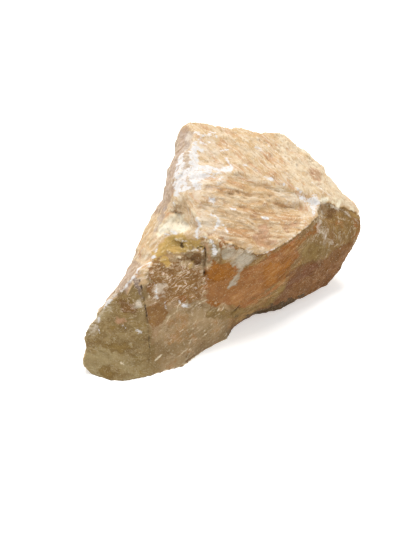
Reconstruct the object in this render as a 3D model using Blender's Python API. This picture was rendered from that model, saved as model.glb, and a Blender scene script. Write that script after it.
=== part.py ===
"""Honeycomb calcite, rough: one broken block of banded calcite that rests on a flat cleavage face.

The block is laid out as the lines where its broken faces meet. Bands of triangles between those
lines make the faces. The faces are divided finely, and lumps, ledges and hollows are then pressed
into them.
"""
import math

import bmesh
import bpy
from mathutils import Vector, noise

# Driving dimensions, in metres
STONE_LENGTH = 0.306
STONE_DEPTH = 0.159
STONE_HEIGHT = 0.171
GRAIN = 0.0089          # longest edge of the divided faces
EDGE_WEAR = 0.42        # how far each corner moves towards its neighbours, 0 to 1
FOOT_CLEARANCE = 0.0006  # least height of anything that isn't the foot

MM = 0.001
FOOT = -1               # marks the foot among the faces

# Relief, in millimetres
LUMP_WIDTH = 38.0       # the broad swells of a face
KNOB_WIDTH = 17.0       # the smaller ones on them
KNOB_SHARE = 0.45       # height of a knob against a lump
ROUGH_WIDTH = 5.0       # the finest unevenness
LEDGE_WANDER = 0.9      # how far a ledge strays, in ledge spacings
WANDER_WIDTH = 31.0     # over what length it strays
FOOT_SWAY = 2.0         # how far the foot's outline strays
FOOT_SWAY_WIDTH = 22.0
FOOT_FADE = 22.0        # the relief grows to its full height over this much above the foot

# Places far apart in one noise field, so that what is read at them is unrelated
KNOB_SHIFT = Vector((7, 3, 1))
WANDER_SHIFT = Vector((11, 5, 2))

# ---------------------------------------------------------------------------------------------
# Where the broken faces meet. Millimetres: x along the stone from the toe, y from front to
# back, z up from the foot. The last corner of a line is often the first of the next one.
# ---------------------------------------------------------------------------------------------
TOE_PEAK = (-88, -45, 95)
TOE_EDGE = [(-138, -31, 47), (-125, -31, 57), (-104, -36, 76), TOE_PEAK]
TOE_TIP = [(-145, -35, 9), (-140, -35, 27), (-140, -32, 38), TOE_EDGE[0]]
TOE_FACE = (-117, -48, 39)
TOE_CREASE = [TOE_PEAK, (-88, -52, 73), (-89, -61, 36)]

FOOT_FRONT = [(-139, -40, 0), (-129, -57, 0), (-118, -65, 0), (-96, -72, 0), (-65, -77, 0),
              (-37, -71, 0), (-9, -68, 0)]
FOOT_UNDERCUT = [FOOT_FRONT[-1], (6, -57, 0), (35, -49, 0), (70, -46, 0), (100, -43, 0),
                 (121, -24, 0)]
FOOT_BACK = [FOOT_UNDERCUT[-1], (130, 12, 0), (115, 46, 0), (78, 70, 0), (32, 80, 0),
             (-16, 66, 0), (-60, 40, 0), (-104, 6, 0), (-134, -22, 0)]

SHOULDER = [TOE_PEAK, (-71, -43, 98), (-60, -36, 104), (-51, -27, 111), (-44, -33, 115),
            (-37, -44, 113), (-31, -56, 112)]
SPLIT_TOP = (-27, -62, 113)
SPLIT_FOOT = (-31, -65, 80)

GROOVE = [(-39, -21, 125), (-29, -20, 121), (-27, -35, 116)]
GROOVE_END = (-26, -50, 122)
SCARP = [(-34, -23, 135), (-26, -26, 135), (-27, -43, 130), GROOVE_END]

APEX = (24, 40, 171)
BROW = [APEX, (19, 23, 168), (9, 13, 163), (-3, 6, 160), (-12, -1, 156), (-23, -8, 151),
        (-30, -15, 144), SCARP[0]]
FLANK = [TOE_EDGE[1], (-107, -25, 65), (-94, -23, 76), (-83, -22, 88), (-71, -17, 98),
         (-60, -10, 107), (-47, -2, 116), (-34, 1, 126), (-24, 8, 136), (-18, 18, 145),
         (-8, 22, 150), (4, 33, 158), (18, 43, 165), APEX]
SHELF = [FLANK[3], (-70, -25, 103), (-56, -20, 113), GROOVE[0], SCARP[0]]

CROWN = [APEX, (49, 34, 165), (69, 28, 159), (92, 18, 150), (116, 10, 144), (127, 3, 134),
         (135, -6, 126), (142, -19, 114), (144, -31, 102), (150, -40, 93), (160, -45, 84),
         (164, -52, 76)]
RIDGE = [(87, 9, 149), (86, -7, 141), (102, -17, 133), (113, -27, 121), (125, -38, 106),
         (130, -47, 93), (145, -51, 85), CROWN[-1]]
STEP = [(2, -9, 152), (34, -22, 143), (64, -30, 131), (92, -45, 117), (109, -52, 100)]
SLOPE_TOP = [BROW[3], (22, 5, 156), (53, -4, 147), RIDGE[1]]
SLOPE_CENTRE = (46, 18, 159)
SLOPE_BRUISE = (3, -4, 154)
LEDGE = [SCARP[2], (10, -47, 122), (41, -52, 112), (72, -54, 104), STEP[-1]]
LEDGE_CORNER = (-8, -31, 143)
LIP = [SPLIT_TOP, (-10, -70, 103), (9, -73, 94), (17, -77, 88), (34, -79, 89), (53, -79, 92),
       (74, -75, 94), (95, -65, 97), STEP[-1]]

FRONT = [SPLIT_FOOT, (-14, -71, 71), (6, -75, 62), (30, -78, 69), (64, -76, 77), (92, -70, 81)]
END_FACE = (121, -64, 72)
END_EDGE = [CROWN[-1], (161, -59, 70), (155, -65, 60)]
BELT = [(-21, -75, 46), (2, -74, 38), (25, -76, 39), (41, -77, 45), (72, -74, 52),
        (101, -72, 53), (133, -69, 50), END_EDGE[-1]]
UNDERCUT = [(-9, -67, 8), (12, -65, 11), (29, -63, 9), (55, -68, 6), (96, -68, 8), (115, -69, 12),
            (130, -68, 20), (138, -67, 34), (146, -68, 46), END_EDGE[-1]]
FACE_TOP = [TOE_PEAK, (-70, -49, 92), (-54, -53, 95), (-40, -57, 97), (-29, -62, 98)]
FACE_HIGH = [TOE_CREASE[1], (-67, -55, 78), (-50, -60, 77), SPLIT_FOOT]
FACE_LOW = [TOE_CREASE[2], (-68, -66, 40), (-45, -71, 42), BELT[0]]

BACK_HIGH = [END_EDGE[1], (153, -23, 86), (140, 12, 98), (112, 42, 114), (80, 54, 124), (46, 61, 134),
             (27, 53, 138), (6, 33, 123), (-28, 12, 99), (-54, -5, 81), (-86, -15, 61), (-114, -25, 45),
             TOE_TIP[2]]
BACK = [(158, -43, 46), (157, -18, 56), (147, 14, 62), (124, 43, 74), (92, 66, 80), (56, 78, 92),
        (22, 69, 94), (-8, 42, 84), (-40, 20, 66), (-68, 5, 52), (-96, -9, 36), (-126, -19, 26)]


def unique(corners):
    """The corners in order, without those that repeat the one before."""
    kept = []
    for corner in corners:
        if not kept or corner != kept[-1]:
            kept.append(corner)
    return kept


def band(one, other):
    """Triangles between two lines that run the same way: always along the shorter diagonal."""
    one, other = unique(one), unique(other)
    triangles = []
    i = j = 0
    while i < len(one) - 1 or j < len(other) - 1:
        along_one = along_other = math.inf
        if i < len(one) - 1:
            along_one = math.dist(one[i + 1], other[j])
        if j < len(other) - 1:
            along_other = math.dist(one[i], other[j + 1])
        if along_one < along_other:
            triangles.append((one[i], one[i + 1], other[j]))
            i += 1
        else:
            triangles.append((one[i], other[j + 1], other[j]))
            j += 1
    return [triangle for triangle in triangles if len(set(triangle)) == 3]


def fan(centre, ring):
    """Triangles from one corner in the middle of a face to the line around it."""
    return [(centre, a, b) for a, b in zip(ring, ring[1:] + ring[:1]) if a != b]


def broken_faces():
    """The block's broken faces by name, each as corner triples; the foot isn't among them."""
    faces = {}
    # toe: one face that looks forward and to the left, with a narrow top
    faces["toe"] = fan(TOE_FACE, TOE_TIP + TOE_EDGE[1:] + TOE_CREASE[1:] + FOOT_FRONT[3::-1])
    faces["toe_top"] = band(TOE_EDGE[1:], FLANK[:4])
    # front face, between the toe's crease and the split
    faces["front"] = (band(FACE_TOP, FACE_HIGH) + band(FACE_HIGH, FACE_LOW)
                      + band(FACE_LOW, FOOT_FRONT[3:]) + [(BELT[0], FOOT_FRONT[-1], UNDERCUT[0])])
    # apron and shoulder above it, the groove behind the shoulder, and the narrow flank
    faces["apron"] = band(SHOULDER + [SPLIT_TOP], FACE_TOP)
    faces["shoulder"] = (band(SHOULDER, SHELF[:4] + GROOVE[1:] + [GROOVE_END])
                         + [(SHOULDER[-1], SPLIT_TOP, GROOVE_END)])
    faces["groove"] = band(SCARP, GROOVE + [GROOVE_END])
    faces["flank"] = band(SHELF + BROW[-2::-1], FLANK[3:])
    # upper slope, down to the step across it
    faces["slope_high"] = (fan(SLOPE_CENTRE, CROWN[:4] + RIDGE[:2] + SLOPE_TOP[2::-1] + BROW[2:0:-1])
                           + fan(SLOPE_BRUISE, SLOPE_TOP[:3] + STEP[1::-1] + BROW[6:3:-1])
                           + band(SLOPE_TOP[2:] + RIDGE[2:5], STEP[1:])
                           + [(RIDGE[4], RIDGE[5], STEP[-1])])
    # lower slope, from the step to the lip
    faces["slope_low"] = (fan(LEDGE_CORNER, [BROW[6]] + SCARP[:3] + [LEDGE[1], STEP[1], STEP[0]])
                          + band(STEP[1:], LEDGE[1:]) + band(LEDGE, [GROOVE_END] + LIP))
    # pitted face behind the ridge, and the end of the block
    faces["crown"] = band(CROWN[3:], RIDGE)
    faces["end"] = fan(END_FACE, [STEP[-1]] + RIDGE[5:] + END_EDGE[1:] + BELT[6:4:-1]
                       + [FRONT[-1], LIP[-2]])
    # banded front right, and the darker face that turns under below it
    faces["banded"] = (band(LIP[:-1], FACE_TOP[-1:] + FRONT) + band(FRONT, BELT[:6]))
    faces["under"] = (band(BELT, UNDERCUT) + band(UNDERCUT[:7], FOOT_UNDERCUT)
                      + band(UNDERCUT[6:] + [END_EDGE[1]], [FOOT_BACK[0], BACK[0]]))
    # back and hidden flank, from the crown down to the foot
    over = CROWN[::-1] + FLANK[-2::-1] + TOE_EDGE[0:1] + TOE_TIP[2:3]
    faces["back"] = (band([END_EDGE[1]] + over, BACK_HIGH) + band(BACK_HIGH + TOE_TIP[1::-1], BACK)
                     + band(BACK, FOOT_BACK)
                     + [(TOE_TIP[0], BACK[-1], FOOT_BACK[-1]), (TOE_TIP[0], FOOT_BACK[-1], FOOT_FRONT[0])])
    return faces


# ---------------------------------------------------------------------------------------------
# How each face broke: the direction across its ledges, then in millimetres the spacing of the
# ledges, their height, the height of its lumps and the height of its roughness.
# ---------------------------------------------------------------------------------------------
BREAK = {
    "toe": ((0.9, -0.4, 0.5), 38, 0.4, 1.2, 0.5),
    "toe_top": ((0.3, 0.9, 0.2), 20, 0.6, 1.0, 0.8),
    "front": ((-0.25, 0.3, 0.9), 26, 1.1, 1.8, 0.8),
    "apron": ((-0.2, 0.5, 0.8), 22, 0.9, 1.4, 0.8),
    "shoulder": ((-0.3, 0.6, 0.7), 24, 0.8, 1.6, 0.7),
    "groove": ((0.5, 0.5, 0.7), 20, 0.4, 0.6, 0.6),
    "flank": ((0.6, -0.5, -0.3), 18, 0.8, 1.2, 0.9),
    "slope_high": ((0.93, 0.36, 0.03), 21, 1.4, 2.2, 0.9),
    "slope_low": ((-0.52, -0.71, -0.69), 16, 2.0, 1.8, 1.1),
    "crown": ((0.9, 0.4, 0.2), 19, 1.3, 2.4, 1.3),
    "end": ((0.7, -0.7, 0.1), 24, 0.8, 2.0, 0.7),
    "banded": ((-0.3, 0.2, 0.93), 22, 0.8, 1.4, 0.5),
    "under": ((-0.3, 0.2, 0.93), 26, 0.8, 2.0, 0.6),
    "back": ((-0.35, 0.1, 0.93), 33, 2.8, 4.0, 1.1),
}

# Hollows pressed into the block: where, how wide, how deep, in millimetres
HOLLOWS = [
    ((-38, -57, 95), 13, 6.0),     # pocket under the shoulder, against the split
    ((117, -55, 90), 11, 6.0),     # bite out of the end, just under the ridge
    ((-6, -74, 40), 16, 2.5),      # where the smooth front sheet ends
    ((60, 78, 118), 34, 6.0),      # two shells spalled off the back
    ((-52, 22, 66), 26, 4.5),
    ((128, 36, 50), 24, 5.0),
]


def rough_block():
    """The block as divided triangles, faces plain and edges sharp, with each face's way of breaking."""
    block = bmesh.new()
    kind = block.faces.layers.int.new("kind")
    at = {}

    def vertex(corner):
        if corner not in at:
            at[corner] = block.verts.new(Vector(corner) * MM)
        return at[corner]

    for number, triangles in enumerate(broken_faces().values()):
        for triangle in triangles:
            block.faces.new([vertex(corner) for corner in triangle])[kind] = number
    foot = block.faces.new([vertex(corner) for corner in FOOT_FRONT + FOOT_UNDERCUT[1:] + FOOT_BACK[1:]])
    foot[kind] = FOOT
    long_edges = block.edges[:]
    while long_edges:
        bmesh.ops.subdivide_edges(block, edges=long_edges, cuts=1)
        uneven = [face for face in block.faces if len(face.verts) > 3 and face[kind] != FOOT]
        bmesh.ops.triangulate(block, faces=uneven)
        long_edges = [edge for edge in block.edges if edge.calc_length() > GRAIN]
    bmesh.ops.recalc_face_normals(block, faces=block.faces)
    return block


def ledge(along, roundness=0.25):
    """A flat tread and a short riser, once for each whole step of along; -0.5 to 0.5."""
    part_way = along - math.floor(along)
    tread = 1.0 - roundness
    if part_way < tread:
        return part_way / tread - 0.5
    return 0.5 - (part_way - tread) / roundness


def shake(point, spacing):
    """Three smooth, unrelated wobbles at a point, each from -1 to 1."""
    place = point / spacing
    return Vector([noise.noise(place + Vector((17.3 * axis, 5.1, 2.7 * axis))) for axis in range(3)])


def press(block):
    """Presses lumps, ledges and hollows into the block and leaves its foot flat."""
    kind = block.faces.layers.int["kind"]
    ways = list(BREAK.values())
    block.normal_update()
    moves = {}
    for vertex in block.verts:
        point = vertex.co / MM
        numbers = [face[kind] for face in vertex.link_faces]
        if FOOT in numbers:
            sway = shake(point, FOOT_SWAY_WIDTH) * FOOT_SWAY
            moves[vertex] = Vector((sway.x, sway.y, 0.0))
            continue
        swell = noise.noise(point / LUMP_WIDTH)
        swell += KNOB_SHARE * noise.noise(point / KNOB_WIDTH + KNOB_SHIFT)
        wander = LEDGE_WANDER * noise.noise(point / WANDER_WIDTH + WANDER_SHIFT)
        height = rough = 0.0
        for number in numbers:
            across, spacing, ledge_height, lump_height, roughness = ways[number]
            step = ledge(point.dot(Vector(across).normalized()) / spacing + wander)
            height += (lump_height * swell + ledge_height * step) / len(numbers)
            rough += roughness / len(numbers)
        for centre, radius, depth in HOLLOWS:
            reach = (point - Vector(centre)).length / radius
            if reach < 1.0:
                height -= depth * (1.0 - reach * reach) ** 1.5
        rise = min(point.z / FOOT_FADE, 1.0)
        moves[vertex] = (vertex.normal * height + shake(point, ROUGH_WIDTH) * rough) * rise
    for vertex, move in moves.items():
        vertex.co += move * MM
        if vertex.co.z > 0.0:
            vertex.co.z = max(vertex.co.z, FOOT_CLEARANCE)


def wear(block):
    """Rounds the sharp edges a little, as handling and quarrying do."""
    kind = block.faces.layers.int["kind"]
    loose = [v for v in block.verts if all(face[kind] != FOOT for face in v.link_faces)]
    bmesh.ops.smooth_vert(block, verts=loose, factor=EDGE_WEAR,
                          use_axis_x=True, use_axis_y=True, use_axis_z=True)


def to_size(block):
    """Brings the block to its driving dimensions, with its origin under its middle."""
    low = [min(v.co[axis] for v in block.verts) for axis in range(3)]
    high = [max(v.co[axis] for v in block.verts) for axis in range(3)]
    size = (STONE_LENGTH, STONE_DEPTH, STONE_HEIGHT)
    for vertex in block.verts:
        for axis in range(3):
            middle = 0.0 if axis == 2 else (low[axis] + high[axis]) / 2
            vertex.co[axis] = (vertex.co[axis] - middle) * size[axis] / (high[axis] - low[axis])


def calcite():
    """Honey-coloured calcite, bruised pale: a dull, slightly waxy break."""
    material = bpy.data.materials.new("honey_calcite")
    material.use_nodes = True
    shader = material.node_tree.nodes["Principled BSDF"]
    shader.inputs["Base Color"].default_value = (0.55, 0.36, 0.17, 1.0)
    shader.inputs["Roughness"].default_value = 0.62
    shader.inputs["Metallic"].default_value = 0.0
    material.diffuse_color = (0.55, 0.36, 0.17, 1.0)
    return material


def calcite_block():
    """The finished stone."""
    block = rough_block()
    wear(block)
    press(block)
    to_size(block)
    bmesh.ops.triangulate(block, faces=[face for face in block.faces if len(face.verts) > 3])
    mesh = bpy.data.meshes.new("calcite_block")
    block.to_mesh(mesh)
    block.free()
    mesh.materials.append(calcite())
    stone = bpy.data.objects.new("calcite_block", mesh)
    bpy.context.scene.collection.objects.link(stone)


for thing in list(bpy.data.objects):
    bpy.data.objects.remove(thing)
calcite_block()
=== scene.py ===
import math

import bpy
import numpy as np
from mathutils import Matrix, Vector, noise
from mathutils.bvhtree import BVHTree


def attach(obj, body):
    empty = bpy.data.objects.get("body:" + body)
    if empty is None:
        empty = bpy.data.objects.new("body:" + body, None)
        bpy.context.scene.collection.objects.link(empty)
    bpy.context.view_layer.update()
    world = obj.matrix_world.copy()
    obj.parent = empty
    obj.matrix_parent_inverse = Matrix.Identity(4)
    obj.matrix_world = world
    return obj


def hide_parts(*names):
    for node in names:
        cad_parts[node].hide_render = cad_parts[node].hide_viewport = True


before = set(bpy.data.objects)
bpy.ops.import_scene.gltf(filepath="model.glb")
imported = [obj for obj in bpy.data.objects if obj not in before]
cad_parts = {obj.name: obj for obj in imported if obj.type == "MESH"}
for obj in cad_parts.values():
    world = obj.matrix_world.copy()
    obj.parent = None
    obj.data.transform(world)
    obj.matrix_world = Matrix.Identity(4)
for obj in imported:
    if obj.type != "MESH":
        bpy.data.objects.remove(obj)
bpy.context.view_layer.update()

# =============================================================================================
# Camera. It looks down on the front left of the stone, as over a table, from about a metre.
# Its view is an upright picture of 416 by 555 pixels.
# =============================================================================================
MM = 0.001
VIEW_AZIMUTH = math.radians(-35)
VIEW_ELEVATION = math.radians(35)
VIEW_DISTANCE = 0.922
VIEW_AIM = Vector((-24.3, -46.7, 60.0)) * MM
LENS_MM = 65.0
FILM_MM = 36.0
PICTURE_WIDTH = 416
PICTURE_HEIGHT = 555

towards_eye = Vector((math.sin(VIEW_AZIMUTH) * math.cos(VIEW_ELEVATION),
                      -math.cos(VIEW_AZIMUTH) * math.cos(VIEW_ELEVATION),
                      math.sin(VIEW_ELEVATION)))
picture_right = Vector((math.cos(VIEW_AZIMUTH), math.sin(VIEW_AZIMUTH), 0.0))
picture_up = towards_eye.cross(picture_right)
eye = VIEW_AIM + towards_eye * VIEW_DISTANCE

camera = bpy.data.objects.new("camera", bpy.data.cameras.new("camera"))
camera.data.lens = LENS_MM
camera.data.sensor_width = FILM_MM
camera.location = eye
camera.rotation_euler = towards_eye.to_track_quat("Z", "Y").to_euler()
bpy.context.scene.collection.objects.link(camera)
bpy.context.scene.camera = camera

# =============================================================================================
# The stone: one block of honeycomb calcite, as it came from the quarry. Iron has coloured it
# from honey to rust. It was broken off and trimmed with a hammer, so some faces are rough and
# stepped, some are smooth old joints, and the blows left white bruises.
# =============================================================================================
VOXEL = 1.4 * MM         # spacing of the fine mesh
SMOOTHING_ROUNDS = 2     # takes the flat facets out of the block, and keeps its edges
FACING_ROUNDS = 6        # evens out the way each part of the surface faces
EDGE_ROUNDS = 12         # how far around an edge is looked at, to see how much it stands out
EDGE_SHARPENING = 1.0    # brings the edges back out
FOOT_LAYER = 1.0         # millimetres above the table that still count as the foot

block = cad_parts["calcite_block"]
rough_copy = bpy.data.objects.new("rough_copy", block.data.copy())
bpy.context.scene.collection.objects.link(rough_copy)
even = rough_copy.modifiers.new("even", "REMESH")
even.mode = "VOXEL"
even.voxel_size = VOXEL
bpy.context.view_layer.update()
evened = rough_copy.evaluated_get(bpy.context.evaluated_depsgraph_get())
stone_mesh = bpy.data.meshes.new_from_object(evened)
stone_mesh.name = "calcite_stone"
bpy.data.objects.remove(rough_copy)

count = len(stone_mesh.vertices)
edges = np.empty(len(stone_mesh.edges) * 2, np.int32)
stone_mesh.edges.foreach_get("vertices", edges)
edge_from, edge_to = edges.reshape(-1, 2).T
neighbours = np.bincount(edge_from, minlength=count) + np.bincount(edge_to, minlength=count)


def spread(values, rounds):
    """Each vertex's value, moved half way to its neighbours' mean, so many times over."""
    values = np.array(values, float).reshape(count, -1)
    for _ in range(rounds):
        total = np.empty_like(values)
        for axis in range(values.shape[1]):
            total[:, axis] = (np.bincount(edge_from, values[edge_to, axis], count)
                              + np.bincount(edge_to, values[edge_from, axis], count))
        values = 0.5 * values + 0.5 * total / neighbours[:, None]
    return values if values.shape[1] > 1 else values[:, 0]


def outward(places):
    """Each vertex's direction out of the stone, once the mesh has its vertices at places."""
    stone_mesh.vertices.foreach_set("co", (places * MM).ravel())
    stone_mesh.update()
    normals = np.empty(count * 3, np.float32)
    stone_mesh.vertex_normals.foreach_get("vector", normals)
    return normals.reshape(-1, 3).astype(float)


def lumps(places, size, shift=0.0):
    """Smooth noise from about -1 to 1 at each place; size is the width of a lump, in places' units."""
    return np.array([noise.noise(Vector(place)) for place in places / size + shift])


def layered(places, parts):
    """Lumps of several sizes laid over each other: the strength, the width and the shift of each."""
    return sum(strength * lumps(places, size, shift) for strength, size, shift in parts)


places = np.empty(count * 3, np.float32)
stone_mesh.vertices.foreach_get("co", places)
places = places.reshape(-1, 3).astype(float) / MM
in_foot = places[:, 2] < FOOT_LAYER
places = spread(places, SMOOTHING_ROUNDS)
facing = spread(outward(places), FACING_ROUNDS)
facing /= np.linalg.norm(facing, axis=1)[:, None]
standing_out = ((places - spread(places, EDGE_ROUNDS)) * facing).sum(1)
places += facing * (EDGE_SHARPENING * np.maximum(standing_out, 0.0))[:, None]
places[in_foot, 2] = 0.0

# Each broken face of the block: its middle in millimetres, the way it faces, the way its grain
# runs, and then its relief in millimetres: ledge spacing and height, streak height, roughness,
# chip width and chip height.
FACES = {
    "toe": ((-122, -50, 36), (-0.53, -0.78, 0.34), (0.7, -0.5, -0.3), 14, 0.2, 0.15, 0.3, 15, 0.5),
    "toe_top": ((-108, -32, 78), (-0.59, 0.48, 0.65), (0.7, 0.1, 0.6), 8, 0.4, 0.5, 0.5, 8, 0.5),
    "front": ((-64, -66, 44), (-0.15, -0.97, 0.2), (1.0, -0.1, 0.4), 11, 0.35, 0.25, 0.5, 11, 0.6),
    "apron": ((-59, -47, 103), (-0.45, -0.61, 0.65), (0.9, -0.5, 0.2), 8, 0.4, 0.4, 0.8, 8, 0.9),
    "shoulder": ((-63, -34, 109), (-0.45, -0.22, 0.86), (0.8, 0.1, 0.5), 9, 0.4, 0.4, 0.6, 10, 0.7),
    "groove": ((-38, -32, 127), (-0.94, -0.34, 0.06), (0.2, -0.6, -0.5), 6, 0.3, 0.3, 0.6, 6, 0.7),
    "flank": ((-33, 2, 140), (-0.68, 0.22, 0.7), (0.7, 0.3, 0.6), 7, 0.5, 0.5, 0.6, 9, 0.6),
    "slope_high": ((48, -7, 144), (0.18, -0.46, 0.87), (1.0, -2.5, -1.2), 9, 0.6, 0.5, 0.4, 10, 0.6),
    "slope_low": ((20, -48, 119), (0.05, -0.66, 0.75), (1.0, -0.35, -0.39), 7, 0.9, 0.5, 0.4, 9, 0.5),
    "crown": ((112, -18, 122), (0.31, -0.52, 0.79), (1.0, -1.5, -1.2), 8, 0.6, 0.4, 0.7, 6, 0.8),
    "crown_end": ((141, -42, 94), (0.36, -0.56, 0.75), (1.0, -1.5, -1.2), 8, 0.5, 0.4, 0.7, 8, 0.6),
    "end": ((114, -62, 75), (0.23, -0.89, 0.4), (0.3, 0.1, 1.0), 10, 0.4, 0.3, 0.5, 10, 0.6),
    "banded": ((19, -74, 71), (-0.04, -1.0, 0.02), (1.0, 0.0, 0.33), 9, 0.35, 0.4, 0.3, 14, 0.4),
    "under": ((72, -63, 23), (0.23, -0.82, -0.52), (1.0, 0.1, 0.33), 10, 0.5, 0.4, 0.6, 10, 0.7),
    "back_high": ((30, 40, 110), (0.05, 0.75, 0.66), (0.93, 0.1, 0.35), 11, 0.9, 0.4, 0.6, 13, 0.8),
    "back": ((25, 45, 50), (0.05, 0.98, 0.1), (0.93, 0.1, 0.35), 14, 0.9, 0.3, 0.6, 16, 0.9),
    "back_toe": ((-80, 10, 40), (-0.5, 0.85, 0.1), (0.8, 0.5, 0.3), 12, 0.7, 0.3, 0.6, 14, 0.7),
    "far_end": ((145, -5, 60), (0.97, 0.2, 0.0), (0.1, 0.9, 0.3), 12, 0.6, 0.3, 0.6, 13, 0.8),
}
FACE_REACH = 60.0      # millimetres from a face's middle that weigh as much as a full turn away
FACE_SHARPNESS = 22.0  # how quickly one face gives way to the next

likeness = np.stack([facing @ Vector(way).normalized()
                     - np.linalg.norm(places - np.array(middle), axis=1) / FACE_REACH
                     for middle, way, *_ in FACES.values()], axis=1)
shares = np.exp(FACE_SHARPNESS * (likeness - likeness.max(1)[:, None]))
shares /= shares.sum(1)[:, None]


def share(*names):
    """How much of each vertex belongs to the named faces, from 0 to 1."""
    return shares[:, [list(FACES).index(name) for name in names]].sum(1)


def steps(along, riser=0.3):
    """A slow rise and a short drop for each whole step of along, from -0.5 to 0.5."""
    part_way = along - np.floor(along)
    rising = part_way / (1.0 - riser) - 0.5
    falling = 0.5 - (part_way - 1.0 + riser) / riser
    return np.where(part_way < 1.0 - riser, rising, falling)


SHUFFLE = np.array((12.99, 78.23, 37.72))  # uneven numbers that give each chip its own random values
SHUFFLE_SPAN = 43758.5
CHIP_TILT = 3.0


def chips(at, size):
    """The flat, tilted chips of a rough break, about size wide: from -1 to 1, with sharp borders."""
    at = at / size
    home = np.floor(at)
    nearest_chip = np.full(len(at), np.inf)
    tilted = np.zeros(len(at))
    for side in np.ndindex(3, 3, 3):
        cell = home + np.array(side) - 1.0
        turn = cell @ SHUFFLE
        random = np.stack([(np.sin(turn + k) * SHUFFLE_SPAN) % 1.0 for k in range(6)], axis=1)
        away = at - cell - random[:, :3]
        distance = (away ** 2).sum(1)
        closer = distance < nearest_chip
        nearest_chip[closer] = distance[closer]
        tilted[closer] = (away * (random[:, 3:] - 0.5) * CHIP_TILT).sum(1)[closer]
    return np.clip(tilted, -1.0, 1.0)


# ---- relief of each face -------------------------------------------------------------------
GRAIN_STRETCH = 4.0    # how much longer than wide the streaks and ledges run
CHIP_STRETCH = 1.8     # the same for the chips
LEAST_SHARE = 0.02     # a face leaves alone what belongs to it less than this
# Lumps, as strength, width in millimetres and shift: those that bend the ledges, and the roughness
WANDER = [(1.5, 16.0, 0.0), (0.8, 6.0, 7.7)]
ROUGHNESS = [(1.0, 11.0, 5.3), (0.6, 5.0, 2.2), (0.4, 2.8, 8.8)]
STREAKS = [(3.6, 1.9), (2.0, 4.9)]      # widths in millimetres, and shifts
# The ledges and chips fade in and out: how wide such a patch is, in millimetres, and how strong
FADING_PATCH = 24.0
FADING_SHIFT = 3.1
USUAL_STRENGTH = 0.6
STRENGTH_SWING = 0.9
MOST_STRENGTH = 1.5
# Small ledges and chips among the large ones, as parts of the large ones' sizes
SMALL_LEDGE_HEIGHT = 0.4
SMALL_LEDGE_SPACING = 0.43
SMALL_LEDGE_WANDER = 1.6
SMALL_CHIP_HEIGHT = 0.4
SMALL_CHIP_WIDTH = 0.45
CHIP_WARP = 0.25       # how far the chips' borders bend, as a part of their width
height = np.zeros(count)
grain_ways = []
for number, face in enumerate(FACES.values()):
    middle, way, run, spacing, ledge, streak, rough, chip, flake = face
    way = Vector(way).normalized()
    run = Vector(run)
    run = (run - way * run.dot(way)).normalized()
    down = run.cross(way)
    if down.z > 0:
        down = -down
    grain_ways.append((run, down, way))
    mine = np.nonzero(shares[:, number] > LEAST_SHARE)[0]
    at = places[mine] @ np.array([run, down, way]).T
    drawn_out = at / (GRAIN_STRETCH, 1.0, 1.0)
    wander = layered(drawn_out, WANDER)
    fading = lumps(at, FADING_PATCH, FADING_SHIFT)
    strength = np.clip(USUAL_STRENGTH + STRENGTH_SWING * fading, 0.0, MOST_STRENGTH)
    relief = ledge * strength * steps(at[:, 1] / spacing + wander)
    small_steps = steps(at[:, 1] / (SMALL_LEDGE_SPACING * spacing) + SMALL_LEDGE_WANDER * wander)
    relief += SMALL_LEDGE_HEIGHT * ledge * small_steps
    for width, shift in STREAKS:
        relief += streak * (0.5 - np.abs(lumps(drawn_out, width, shift)) * 2.0)
    warped = at / (CHIP_STRETCH, 1.0, 1.0) + CHIP_WARP * chip * wander[:, None]
    relief += (flake * chips(warped, chip) * strength
               + SMALL_CHIP_HEIGHT * flake * chips(warped, SMALL_CHIP_WIDTH * chip))
    relief += rough * layered(at, ROUGHNESS)
    height[mine] += shares[mine, number] * relief

# ---- marks that stand at given points of the camera's view ------------------------------------
smooth_stone = BVHTree.FromPolygons([Vector(place) for place in places],
                                    [tuple(face.vertices) for face in stone_mesh.polygons])
PIXELS_PER_SLOPE = PICTURE_HEIGHT / FILM_MM * LENS_MM


def on_stone(across, down):
    """The place on the stone, in millimetres, that stands at this pixel of the camera's view."""
    ray = (-towards_eye + picture_right * ((across - PICTURE_WIDTH / 2) / PIXELS_PER_SLOPE)
           + picture_up * ((PICTURE_HEIGHT / 2 - down) / PIXELS_PER_SLOPE))
    return smooth_stone.ray_cast(eye / MM, ray.normalized())[0]


def nearest(line):
    """Each vertex's distance from a line of pixels laid on the stone, and the way there."""
    corners = [on_stone(*pixel) for pixel in line]
    corners = [np.array(corner) for corner in corners if corner is not None]
    if len(corners) == 1:
        corners = corners * 2
    distance = np.full(count, np.inf)
    offset = np.zeros((count, 3))
    for start, end in zip(corners, corners[1:]):
        along = end - start
        part = np.clip((places - start) @ along / max(along @ along, 1e-6), 0.0, 1.0)
        away = places - start - part[:, None] * along
        reach = np.linalg.norm(away, axis=1)
        closer = reach < distance
        distance[closer] = reach[closer]
        offset[closer] = away[closer]
    return distance, offset


DEEP_CLEFT = 1.0       # millimetres; a deeper cleft's brims get little pale rub with its painted highlight, and little painted hollow shade,
BRIM_WIDTH = 4.0       # over about this many millimetres beside it
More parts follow.
